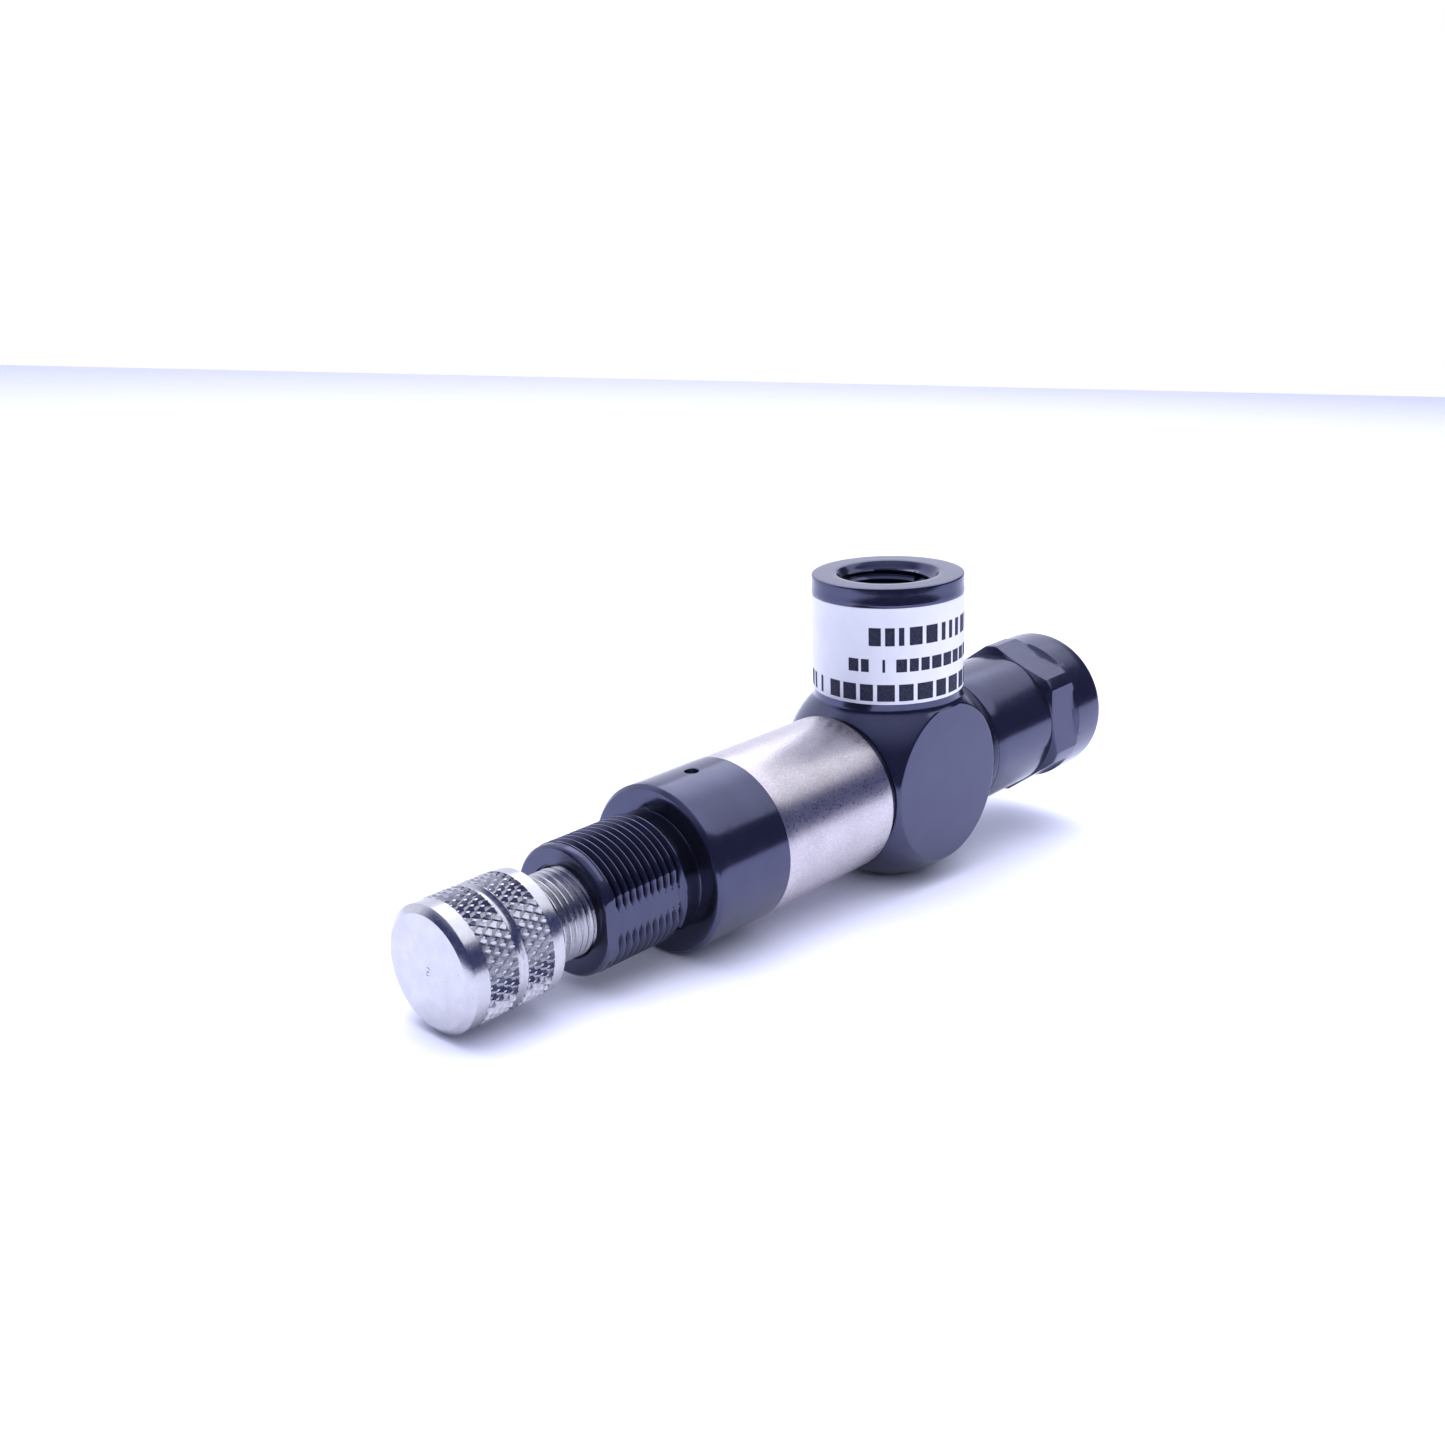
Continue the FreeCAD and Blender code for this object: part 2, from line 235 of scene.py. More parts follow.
class Shader:
    """A Principled material whose patterns come from the piece's own coordinates."""

    def __init__(self, name, **sockets):
        self.m = bpy.data.materials.new(name)
        self.m.use_nodes = True
        self.t = self.m.node_tree
        self.p = self.t.nodes["Principled BSDF"]
        for key, value in sockets.items():
            self.p.inputs[key.replace("_", " ")].default_value = value
        self.at = self.node("ShaderNodeTexCoord").outputs["Object"]
        self.bump_from = None

    def node(self, kind, **props):
        n = self.t.nodes.new(kind)
        for key, value in props.items():
            setattr(n, key, value)
        return n

    def link(self, a, b):
        self.t.links.new(a, b)

    def stretched(self, scale):
        """The coordinates scaled differently along each axis."""
        n = self.node("ShaderNodeMapping")
        n.inputs["Scale"].default_value = scale
        self.link(self.at, n.inputs["Vector"])
        return n.outputs["Vector"]

    def radial(self, axis, centre=(0, 0, 0)):
        """A vector whose first part is the distance from an axis."""
        shift = self.node("ShaderNodeVectorMath", operation="SUBTRACT")
        shift.inputs[1].default_value = centre
        keep = self.node("ShaderNodeVectorMath", operation="MULTIPLY")
        keep.inputs[1].default_value = (0, 1, 1) if axis == "X" else (1, 1, 0)
        length = self.node("ShaderNodeVectorMath", operation="LENGTH")
        join = self.node("ShaderNodeCombineXYZ")
        self.link(self.at, shift.inputs[0])
        self.link(shift.outputs[0], keep.inputs[0])
        self.link(keep.outputs[0], length.inputs[0])
        self.link(length.outputs["Value"], join.inputs["X"])
        return join.outputs[0]

    def noise(self, scale, detail=3.0, vector=None, rough=0.55):
        n = self.node("ShaderNodeTexNoise")
        n.inputs["Scale"].default_value = scale
        n.inputs["Detail"].default_value = detail
        n.inputs["Roughness"].default_value = rough
        self.link(vector or self.at, n.inputs["Vector"])
        return n.outputs["Fac"]

    def ramp(self, value, low, high, a, b):
        """Maps low..high of a value onto a..b."""
        n = self.node("ShaderNodeMapRange")
        for key, v in (("From Min", low), ("From Max", high), ("To Min", a), ("To Max", b)):
            n.inputs[key].default_value = v
        self.link(value, n.inputs["Value"])
        return n.outputs["Result"]

    def colours(self, value, *stops):
        n = self.node("ShaderNodeValToRGB")
        ramp = n.color_ramp
        while len(ramp.elements) < len(stops):
            ramp.elements.new(0.5)
        for element, (at, colour) in zip(ramp.elements, stops):
            element.position = at
            element.color = (*colour, 1)
        self.link(value, n.inputs["Fac"])
        return n.outputs["Color"]

    def mix(self, factor, a, b):
        n = self.node("ShaderNodeMix", data_type="RGBA")
        self.link(factor, n.inputs["Factor"])
        self.link(a, n.inputs["A"])
        self.link(b, n.inputs["B"])
        return n.outputs["Result"]

    def base(self, colour):
        self.link(colour, self.p.inputs["Base Color"])

    def rough(self, value):
        self.link(value, self.p.inputs["Roughness"])

    def bump(self, height, distance, strength=1.0):
        n = self.node("ShaderNodeBump")
        n.inputs["Distance"].default_value = distance
        n.inputs["Strength"].default_value = strength
        self.link(height, n.inputs["Height"])
        if self.bump_from:
            self.link(self.bump_from, n.inputs["Normal"])
        self.bump_from = n.outputs["Normal"]
        self.link(self.bump_from, self.p.inputs["Normal"])


def anodised(name, axis="X", centre=(0, 0, 0), painted_groove_shade=False):
    """Black anodised aluminium: dark blue-black, satin, with the lathe's fine lines under it.
    When asked, it also paints shade into the roots of the neck thread, and leaves its flat and end face
    alone."""
    s = Shader(name, Metallic=0.9)
    cloud = s.noise(260, 4)
    dark = s.colours(cloud, (0.25, (0.068, 0.071, 0.114)), (0.75, (0.081, 0.084, 0.136)))
    speck = s.colours(s.noise(9000, 2), (0.62, (0, 0, 0)), (0.80, (1, 1, 1)))
    pale = s.colours(cloud, (0.0, (0.10, 0.103, 0.17)), (1.0, (0.13, 0.133, 0.20)))
    colour = s.mix(s.ramp(speck, 0, 1, 0.0, 0.5), dark, pale)
    if painted_groove_shade:
        parts = s.node("ShaderNodeSeparateXYZ")
        s.link(s.at, parts.inputs[0])
        split = s.node("ShaderNodeSeparateXYZ")
        s.link(s.radial(axis), split.inputs[0])
        # painted shade in the roots of the neck thread; places in metres: it fades out between the thread's
        # root and crest, and is lifted at the flat and at the end face
        unshaded = s.ramp(split.outputs["X"], 0.00552, 0.00584, 0, 1)
        for value, low, high in ((parts.outputs["Y"], -0.00536, -0.00542),
                                 (parts.outputs["X"], -0.0100, -0.0104)):
            both = s.node("ShaderNodeMath", operation="MAXIMUM")
            s.link(unshaded, both.inputs[0])
            s.link(s.ramp(value, low, high, 0, 1), both.inputs[1])
            unshaded = both.outputs[0]
        # the colour of the painted shade in the thread's roots
        groove_shade_colour = s.colours(cloud, (0.25, (0.020, 0.021, 0.040)), (0.75, (0.028, 0.029, 0.052)))
        colour = s.mix(unshaded, groove_shade_colour, colour)
    s.base(colour)
    lines = s.noise(1, 3, s.stretched((16000, 260, 260) if axis == "X" else (260, 260, 16000)))
    rings = s.noise(15000, 2, s.radial(axis, centre))
    s.rough(s.ramp(s.noise(1400, 4), 0.3, 0.7, 0.13, 0.20))
    s.bump(lines, 0.0000025, 0.45)
    s.bump(rings, 0.0000025, 0.35)
    s.bump(s.noise(5200, 3), 0.000002, 0.30)
    return s.m


def nickel(name):
    """Nickel plate over turned brass: warm silver with a fine crystalline grain."""
    s = Shader(name, Metallic=1.0, Specular_IOR_Level=0.5)
    blotch = s.noise(330, 5)
    grain = s.noise(5200, 3, rough=0.7)
    warm = s.colours(blotch, (0.30, (0.49, 0.45, 0.455)), (0.70, (0.55, 0.51, 0.515)))
    pale = s.colours(blotch, (0.30, (0.58, 0.55, 0.56)), (0.70, (0.65, 0.62, 0.63)))
    s.base(s.mix(s.ramp(grain, 0.42, 0.62, 0, 1), warm, pale))
    s.rough(s.ramp(s.noise(3600, 3), 0.3, 0.7, 0.25, 0.37))
    s.bump(s.noise(1, 3, s.stretched((9000, 500, 500))), 0.000003, 0.5)
    s.bump(grain, 0.000003, 0.6)
    return s.m


def bright(name):
    """Bright turned aluminium."""
    s = Shader(name, Metallic=1.0, Specular_IOR_Level=0.5)
    blotch = s.noise(600, 4)
    s.base(s.colours(blotch, (0.3, (0.49, 0.485, 0.495)), (0.7, (0.56, 0.555, 0.565))))
    lines = s.noise(1, 3, s.stretched((14000, 120, 120)))
    rings = s.noise(11000, 3, s.radial("X"))
    broad = s.noise(1900, 2, s.radial("X"))
    s.rough(s.ramp(s.noise(2600, 3), 0.3, 0.7, 0.19, 0.28))
    s.bump(lines, 0.000003, 0.5)
    s.bump(rings, 0.000004, 0.6)
    s.bump(broad, 0.000010, 0.35)
    s.bump(s.noise(2400, 3), 0.000002, 0.35)
    return s.m


def plain(name, low, high, scale, roughness, grain=4000, height=0.000005, metallic=0.0, lines=0.0, **sockets):
    """A simpler finish: mottled colour, uneven gloss and a fine grain."""
    s = Shader(name, Metallic=metallic, **sockets)
    s.base(s.colours(s.noise(scale, 4), (0.3, low), (0.7, high)))
    s.rough(s.ramp(s.noise(scale * 3, 3), 0.3, 0.7, *roughness))
    s.bump(s.noise(grain, 3), height, 0.6)
    if lines:
        s.bump(s.noise(1, 3, s.stretched((12000, 200, 200))), lines, 0.6)
    return s.m


def film(name):
    """White polyester label film, a little uneven where it follows the boss."""
    s = Shader(name, Metallic=0.0, IOR=1.48)
    s.base(s.colours(s.noise(420, 3), (0.3, (0.88, 0.885, 0.93)), (0.7, (0.92, 0.925, 0.96))))
    s.rough(s.ramp(s.noise(900, 3), 0.3, 0.7, 0.36, 0.48))
    s.bump(s.noise(700, 2), 0.000016, 0.35)
    s.bump(s.noise(9000, 2), 0.0000025, 0.4)
    return s.m


def ink(name):
    s = Shader(name, Metallic=0.0, Specular_IOR_Level=0.15)
    s.base(s.colours(s.noise(5200, 4), (0.35, (0.020, 0.021, 0.042)), (0.75, (0.050, 0.052, 0.085))))
    s.rough(s.ramp(s.noise(3000, 3), 0.3, 0.7, 0.45, 0.6))
    s.bump(s.noise(12000, 2), 0.000002, 0.5)
    return s.m


BLACK = anodised("black_anodised")
# the neck's material paints shade into the roots of its thread
BLACK_NECK_PAINTED_SHADE = anodised("black_anodised_neck_painted_shade", painted_groove_shade=True)
BLACK_PORT = anodised("black_anodised_port", "Z", (PORT_X * MM, 0, 0))
NICKEL = nickel("nickel_plate")
BRIGHT = bright("turned_aluminium")
WHITE = film("white_film")
INK = ink("label_ink")
BRASS = plain("brass", (0.62, 0.42, 0.16), (0.74, 0.54, 0.24), 700, (0.22, 0.34), metallic=1.0,
              lines=0.000004)
STEEL = plain("spring_steel", (0.42, 0.42, 0.44), (0.56, 0.56, 0.58), 900, (0.25, 0.40), metallic=1.0)
POLISHED = plain("bearing_steel", (0.70, 0.70, 0.72), (0.80, 0.80, 0.82), 700, (0.08, 0.14), metallic=1.0,
                 height=0.000001)
BRONZE = plain("sintered_bronze", (0.20, 0.10, 0.04), (0.52, 0.34, 0.15), 3200, (0.45, 0.70), grain=2600,
               height=0.00006, metallic=1.0)
RUBBER = plain("nitrile", (0.010, 0.010, 0.011), (0.020, 0.020, 0.022), 900, (0.50, 0.66), grain=2600)
ACETAL = plain("acetal", (0.030, 0.032, 0.060), (0.040, 0.042, 0.075), 700, (0.20, 0.30), lines=0.000003,
               metallic=0.85)
PTFE = plain("ptfe", (0.76, 0.76, 0.73), (0.84, 0.84, 0.82), 600, (0.45, 0.58), lines=0.000005)

for node, material in {
    "thrust_ball": POLISHED, "spring_button": BRASS, "range_spring": STEEL, "piston": BRASS,
    "piston_guide_band": PTFE, "piston_seal": RUBBER, "relief_seat": RUBBER, "sleeve_seal": RUBBER,
    "front_swivel_seal": RUBBER, "rear_swivel_seal": RUBBER, "seat_insert": BRASS, "poppet": BRASS,
    "poppet_seal": RUBBER, "poppet_spring": STEEL, "spring_retainer": BRASS, "filter_snap_ring": STEEL,
}.items():
    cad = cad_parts[node]
    if not cad.material_slots:
        cad.data.materials.append(material)
    for place in cad.material_slots:
        place.material = material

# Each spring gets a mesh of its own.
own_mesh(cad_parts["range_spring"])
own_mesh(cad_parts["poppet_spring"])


def dress(piece, material):
    piece.data.materials.append(material)


# ---------------------------------------------------------------- knob

def knurl(skin, start, end, cols):
    """A diamond knurl. Its grid steps line up with the grooves, so every facet is flat.
    Returns the radii round its two ends."""
    half = cols // KNURL_TEETH // 2
    cells = round((end - start) / KNURL_CELL)
    rows = cells * half + 1
    k, j = np.meshgrid(np.arange(rows), np.arange(cols), indexing="ij")
    period = 2 * half
    a = np.abs((j + k + half) % period - half) / half
    b = np.abs((j - k + half) % period - half) / half
    top = 0.75  # the diamonds' points are cut off at this height
    height = np.minimum(np.minimum(a, b), top) / top
    radius = KNURL_CREST_R - KNURL_DEPTH * (1 - height)
    along = start + (end - start) * k / (rows - 1)
    angle = j * TAU / cols
    points = to_space(along, radius, angle, "X", (0, 0, 0)).reshape(-1, 3)
    faces = []
    for i in range(rows - 1):
        for c in range(cols):
            n = (c + 1) % cols
            p, q = i * cols + c, i * cols + n
            r, s = (i + 1) * cols + n, (i + 1) * cols + c
            da = abs((c + i + 1 + half) % period - half)
            db = abs((c - i + half) % period - half)
            faces += [(p, q, s), (q, r, s)] if da < db else [(p, q, r), (p, r, s)]
    skin.add(points, faces)
    return radius[0], radius[-1]


def end_wall(skin, at, ring, land, cols, front):
    """The thin step where a knurled band meets the plain land."""
    angle = np.arange(cols) * TAU / cols
    plain_ring = np.full(cols, land)
    rings = [plain_ring, ring] if front else [ring, plain_ring]
    points = np.concatenate([to_space(np.full(cols, at), r, angle, "X", (0, 0, 0)) for r in rings])
    skin.add(points, strip_faces(2, cols))


def make_knob():
    cols = 8 * KNURL_TEETH
    skin = Skin()
    dimple = [(0.09, 0.001), (0.08, 0.06), (0.01, 0.13), (0, 0.17), (0, 0.32), (0.02, 0.36), (0, 0.40)]
    face = [(KNOB_FACE + depth, r) for depth, r in dimple]
    face += spread((KNOB_FACE, 0.40), (KNOB_FACE, 4.78), 9)
    chamfer = [(0, KNOB_EDGE_R), (0.03, KNOB_EDGE_R + 0.06), (0.42, KNOB_LAND_R - 0.05), (0.49, KNOB_LAND_R)]
    face += [(KNOB_FACE + depth, r) for depth, r in chamfer]
    face += [(-24.0, KNOB_LAND_R), (FRONT_BAND[0], KNOB_LAND_R)]
    lathe(skin, face, cols)
    first, last = knurl(skin, *FRONT_BAND, cols)
    end_wall(skin, FRONT_BAND[0], first, KNOB_LAND_R, cols, True)
    end_wall(skin, FRONT_BAND[1], last, BAND_FOOT_R, cols, False)
    half = [(0.42, 5.42), (0.37, 5.36), (0.26, 5.16), (0.16, 5.07)]
    groove = [(FRONT_BAND[1], BAND_FOOT_R)] + [(GROOVE_X - away, r) for away, r in half]
    groove += [(GROOVE_X, GROOVE_R)] + [(GROOVE_X + away, r) for away, r in reversed(half)]
    groove += [(REAR_BAND[0], BAND_FOOT_R)]
    lathe(skin, groove, cols)
    first, last = knurl(skin, *REAR_BAND, cols)
    end_wall(skin, REAR_BAND[0], first, BAND_FOOT_R, cols, True)
    end_wall(skin, REAR_BAND[1], last, KNOB_LAND_R, cols, False)
    soft = 0.16
    rear = [(REAR_BAND[1], KNOB_LAND_R), (-16.2, KNOB_LAND_R)]
    rear += arc((KNOB_REAR - soft, KNOB_LAND_R), (KNOB_REAR, KNOB_LAND_R - soft), (KNOB_REAR, KNOB_LAND_R), 3)
    rear += spread((KNOB_REAR, 5.3), (KNOB_REAR, 3.75), 3)
    rear += arc((KNOB_REAR, SCREW_ROOT + 0.12), (KNOB_REAR + 0.12, SCREW_ROOT), (KNOB_REAR, SCREW_ROOT), 2)
    rear += [(SCREW_START, SCREW_ROOT)]
    lathe(skin, rear, cols)
    helix(skin, SCREW_START, SCREW_SHANK, SCREW_PITCH, SCREW_R, SCREW_ROOT, cols,
          edges=(SCREW_ROOT, SCREW_R), fade=(0.05, 0.3))
    tail = [(SCREW_SHANK, SCREW_R), (SCREW_TIP - 0.5, SCREW_R), (SCREW_TIP, 3.45), (SCREW_TIP, 1.55),
            (1.2, 1.45), (0.85, 0.6), (0.83, 0.001)]
    lathe(skin, tail, cols)
    piece = skin.build("knob_and_screw", "knob", "adjusting_knob", 24)
    dress(piece, BRIGHT)


# ---------------------------------------------------------------- bonnet

def neck_flat(along, radius, angle):
    """The flat milled along the neck, facing -Y."""
    facing = -np.cos(angle)
    cut = np.where(facing > 0.2, NECK_FLAT / np.maximum(facing, 0.2), 99.0)
    return np.where(along < FLAT_END, np.minimum(radius, cut), radius)


def make_bonnet():
    cols = 384
    skin = Skin()
    lead = [(SEAM, SPIGOT_R), (SPIGOT_END - 0.3, SPIGOT_R), (SPIGOT_END, SPIGOT_R - 0.2),
            (SPIGOT_END, SPRING_BORE_R), (1.2, SPRING_BORE_R), (1.2, SCREW_BORE_R), (-10.70, SCREW_BORE_R),
            (NECK_FRONT + 0.06, 4.14), (NECK_FRONT, 4.22)]
    lead += spread((NECK_FRONT, 4.22), (NECK_FRONT, 5.58), 3)
    lead += [(NECK_FRONT, 5.60), (NECK_FRONT + 0.06, 5.70), (-10.86, 5.82), (-10.78, 5.86)]
    lead += [(NECK_START, LEAD_R)]
    lathe(skin, lead, cols, shape=neck_flat)
    helix(skin, NECK_START, NECK_END, NECK_PITCH, NECK_R, NECK_ROOT, cols, shape=neck_flat,
          edges=(LEAD_R, RUNOUT_R), fade=(0.18, 0.05))
    body = [(x, RUNOUT_R) for x in (NECK_END, -1.2, -0.5, -0.12)] + [(0.0, RUNOUT_R + 0.06)]
    body += spread((0, RUNOUT_R + 0.06), (0, 7.5), 4)
    body += arc((0.0, 7.56), (0.10, 7.70), (0.0, 7.64), 2)
    body += arc((0.24, 7.85), (0.42, BODY_R), (0.34, BODY_R), 3)
    body += spread((0.42, BODY_R), (4.2, BODY_R), 3)
    body += spread((4.2, BODY_R), (6.2, BODY_R), 5)
    body += [(x, BODY_R) for x in (6.2, 7.6, 9.2)]
    body += arc((SEAM - 0.07, BODY_R), (SEAM, BODY_R - 0.07), (SEAM, BODY_R), 2)
    body += [(SEAM, 7.5), (SEAM, SPIGOT_R)]
    lathe(skin, body, cols, shape=neck_flat)
    piece = skin.build("bonnet_turned", "housing", "bonnet", 28)
    cutter = Skin()
    vent = [(2.0, 0.001), (2.0, VENT_R), (7.84, VENT_R), (7.90, VENT_R + 0.03), (7.96, VENT_R + 0.13),
            (9.0, 1.6), (9.0, 0.001)]
    lathe(cutter, vent[::-1], 40, "Z", (VENT_X, 0, 0))
    drill(piece, cutter)
    dress(piece, BLACK_NECK_PAINTED_SHADE)
    smooth(piece, 28)


def drill(piece, cutter):
    """Cuts one closed skin out of a piece."""
    mesh = bpy.data.meshes.new("cutter")
    mesh.from_pydata((np.concatenate(cutter.points) * MM).tolist(), [], cutter.faces)
    bm = bmesh.new()
    bm.from_mesh(mesh)
    bmesh.ops.remove_doubles(bm, verts=bm.verts, dist=2e-6)
    bmesh.ops.recalc_face_normals(bm, faces=bm.faces)
    bm.to_mesh(mesh)
    bm.free()
    tool = bpy.data.objects.new("cutter", mesh)
    bpy.context.scene.collection.objects.link(tool)
    cut = piece.modifiers.new("cut", "BOOLEAN")
    cut.operation, cut.solver, cut.object = "DIFFERENCE", "EXACT", tool
    for other in [m for m in piece.modifiers if m.type == "WEIGHTED_NORMAL"]:
        piece.modifiers.remove(other)
    graph = bpy.context.evaluated_depsgraph_get()
    result = bpy.data.meshes.new_from_object(piece.evaluated_get(graph))
    piece.modifiers.clear()
    old, piece.data = piece.data, result
    bpy.data.objects.remove(tool)
    bpy.data.meshes.remove(mesh)
    bpy.data.meshes.remove(old)


# ---------------------------------------------------------------- sleeve, washers, filter

def ring(name, node, slot, material, profile):
    """A turned ring in the housing: the profile closes on its first point."""
    skin = Skin()
    lathe(skin, profile + [profile[0]], 256)
    piece = skin.build(name, "housing", node, 28)
    dress(piece, material)


def make_sleeve():
    soft = 0.16
    outside = arc((SEAM, SLEEVE_R - 0.10), (SEAM + 0.09, SLEEVE_R), (SEAM, SLEEVE_R), 3)
    outside += spread((SEAM + 0.09, SLEEVE_R), (SLEEVE_END - soft, SLEEVE_R), 8)
    outside += arc((SLEEVE_END - soft, SLEEVE_R), (SLEEVE_END, SLEEVE_R - soft), (SLEEVE_END, SLEEVE_R), 4)
    inside = [(SLEEVE_END, 6.4), (23.4, 6.4), (23.4, 5.0), (20.2, 5.0), (20.2, CYLINDER_R),
              (SPIGOT_END, CYLINDER_R), (SPIGOT_END, SPIGOT_R), (SEAM, SPIGOT_R)]
    ring("sleeve_turned", "cylinder_sleeve", "nickel_plate", NICKEL, outside + inside)


def make_washers():
    front = (SLEEVE_END + WASHER_GAP, PORT_X - FACE_X - WASHER_GAP)
    rear = (PORT_X + FACE_X + WASHER_GAP, BARREL_X - WASHER_GAP)
    for name, node, edge, (x0, x1) in (("washer_front", "front_thrust_washer", FRONT_WASHER_R, front),
                                       ("washer_rear", "rear_thrust_washer", REAR_WASHER_R, rear)):
        corners = [(x0, JOURNAL_R), (x0, edge), (x1, edge), (x1, JOURNAL_R)]
        profile = rounded([*corners, corners[0]], {1: 0.08, 2: 0.08}, 3)[:-1]
        ring(name, node, "acetal", ACETAL, profile)


def make_filter():
    """A sintered disc with an uneven rear face."""
    rng = np.random.default_rng(7)
    cols = 128
    profile = [(FILTER_X + 0.02, 0.001), (FILTER_X + 0.02, FILTER_R), (FILTER_FACE - 0.1, FILTER_R)]
    edge_rows = len(profile)
    profile = np.array(profile + [(FILTER_FACE, r) for r in np.linspace(FILTER_R, 0.05, 40)])
    angle = np.arange(cols) * TAU / cols
    along = profile[:, :1] + 0 * angle
    pits = rng.uniform(-0.06, 0.0, along.shape)
    along[edge_rows:] += pits[edge_rows:]
    skin = Skin()
    points = to_space(along, profile[:, 1:], angle, "X", (0, 0, 0))
    skin.add(points, strip_faces(len(profile), cols))
    piece = skin.build("filter_disc", "housing", "inlet_filter", 60)
    dress(piece, BRONZE)


# ---------------------------------------------------------------- port body

def basis(axis):
    """Two directions square to an axis."""
    other = np.array((0, 1, 0)) if abs(axis[1]) < 0.9 else np.array((1, 0, 0))
    u = np.cross(other, axis)
    u /= np.linalg.norm(u)
    return u, np.cross(axis, u)


def circle(axis, height, radius, count):
    """A circle round an axis from the ball's centre, anticlockwise seen from outside."""
    axis = np.array(axis, float)
    u, v = basis(axis)
    angle = np.arange(count) * TAU / count
    return axis * height + radius * (np.cos(angle)[:, None] * u + np.sin(angle)[:, None] * v)


def port_flats(skin, count, centre):
    """The ball's five flats. Returns each one's axis, the angle of its rim and the rim's points."""
    caps = [((-1, 0, 0), FACE_X), ((1, 0, 0), FACE_X), ((0, -1, 0), SIDE_Y), ((0, 1, 0), SIDE_Y),
            ((0, 0, -1), BOTTOM_Z)]
    soft = 0.15
    rims = []
    for axis, height in caps:
        edge = math.sqrt(BALL_R ** 2 - height ** 2)
        tilt = math.acos(height / BALL_R) + soft / BALL_R
        start = (BALL_R * math.cos(tilt), BALL_R * math.sin(tilt))
        rows = arc(start, (height, edge - soft), (height, edge), 4)
        bored = abs(axis[0]) == 1
        inner = JOURNAL_R if bored else 0.004
        rows += spread((height, edge - soft), (height, inner + 0.1), 4)
        if bored:
            rows += arc((height, inner + 0.1), (height - 0.1, inner), (height, inner), 2)
        else:
            rows.append((height, inner))
        points = np.concatenate([circle(axis, h, r, count) for h, r in rows]) + centre
        skin.add(points, strip_faces(len(rows), count))
        rims.append((np.array(axis, float), tilt, circle(axis, *start, count)))
    return rims


def port_boss(skin, count, centre):
    """The boss, which leaves the ball with a small fillet, and its ring and mouth. Returns its rim."""
    lift = 0.30
    tilt = math.asin((BOSS_R + lift) / BALL_R)
    start = (BALL_R * math.cos(tilt), BALL_R * math.sin(tilt))
    corner = (math.sqrt(BALL_R ** 2 - BOSS_R ** 2), BOSS_R)
    rows = arc(start, (corner[0] + lift, BOSS_R), corner, 5)
    rows += [(9.0, BOSS_R), (RING_Z, BOSS_R)]
    lip = [(0.03, -0.01), (0.12, 0.04), (0.26, 0.05), (0.5, 0.01), (1.2, 0.0)]
    rows += [(RING_Z + rise, RING_R + out) for rise, out in lip]
    rows += arc((PORT_TOP - 0.17, RING_R), (PORT_TOP, RING_R - 0.17), (PORT_TOP, RING_R), 4)
    rows += spread((PORT_TOP, RING_R - 0.17), (PORT_TOP, 5.28), 3)
    rows += arc((PORT_TOP, 5.26), (PORT_TOP - 0.08, 5.12), (PORT_TOP, 5.18), 2)
    rows += [(PORT_TOP - 0.45, 4.93), (PORT_TOP - SINK_DEPTH, PIPE_ROOT)]
    points = np.concatenate([circle((0, 0, 1), h, r, count) for h, r in rows]) + centre
    skin.add(points, strip_faces(len(rows), count))
    return np.array((0.0, 0.0, 1.0)), tilt, circle((0, 0, 1), *start, count)


def port_thread(skin, count, centre):
    """The side port's thread and the passage below it."""
    floor = 12.9
    helix(skin, floor, PORT_TOP - SINK_DEPTH, PIPE_PITCH, PIPE_CREST, PIPE_ROOT, count, "Z", centre,
          edges=(PIPE_CREST, PIPE_ROOT), fade=(0.3, 0.05), inside=True)
    below = [(floor, PIPE_CREST), (12.65, PIPE_CREST), (12.58, 4.2), (12.5, 3.1), (12.3, PASSAGE_R),
             (GALLERY_R + 0.2, PASSAGE_R)]
    lathe(skin, below, count, "Z", centre)


def port_ball(skin, count, centre, rims):
    """The ball between the rims: evenly spread points, joined by a flat triangulation that keeps
    every rim's edges. The points are laid out on the plane from the top, which the boss covers."""
    total = 5600
    k = np.arange(total) + 0.5
    z = 1 - 2 * k / total
    golden_turn = math.pi * (1 + 5 ** 0.5)
    turn = golden_turn * k
    flat = np.sqrt(1 - z * z)
    ball = np.stack([flat * np.cos(turn), flat * np.sin(turn), z], 1)
    keep = np.ones(total, bool)
    for axis, tilt, _ in rims:
        keep &= ball @ axis < math.cos(tilt + 0.030)
    points = np.concatenate([ball[keep] * BALL_R] + [rim for _, _, rim in rims])
    unit = points / np.linalg.norm(points, axis=1)[:, None]
    plane = unit[:, :2] / (1.0 - unit[:, 2:])
    first = int(keep.sum())
    edges = [(first + n * count + j, first + n * count + (j + 1) % count)
             for n in range(len(rims)) for j in range(count)]
    made = delaunay_2d_cdt([Vector(p) for p in plane.tolist()], edges, [], 0, 1e-9)
    source = [ids[0] if ids else -1 for ids in made[3]]
    faces = []
    for f in made[2]:
        ids = [source[v] for v in f]
        if min(ids) < 0:
            continue
        middle = unit[ids].mean(axis=0)
        middle /= np.linalg.norm(middle)
        if all(middle @ axis < math.cos(tilt) + 1e-5 for axis, tilt, _ in rims):
            a, b, c = (points[i] for i in ids[:3])
            faces.append(ids if np.cross(b - a, c - a) @ middle > 0 else ids[::-1])
    skin.add(points + centre, faces)


def port_journal(skin, count, centre):
    """The journal bore with its seal grooves and the gallery that feeds the port."""
    bore = [(FACE_X - 0.1, JOURNAL_R)]
    for a, b, r in ((6.6, 4.8, SEAL_GROOVE_R), (3.0, -3.0, GALLERY_R), (-4.8, -6.6, SEAL_GROOVE_R)):
        bore += [(a, JOURNAL_R), (a, r), (b, r), (b, JOURNAL_R)]
    bore += [(-FACE_X + 0.1, JOURNAL_R)]
    lathe(skin, bore, count, "X", centre)


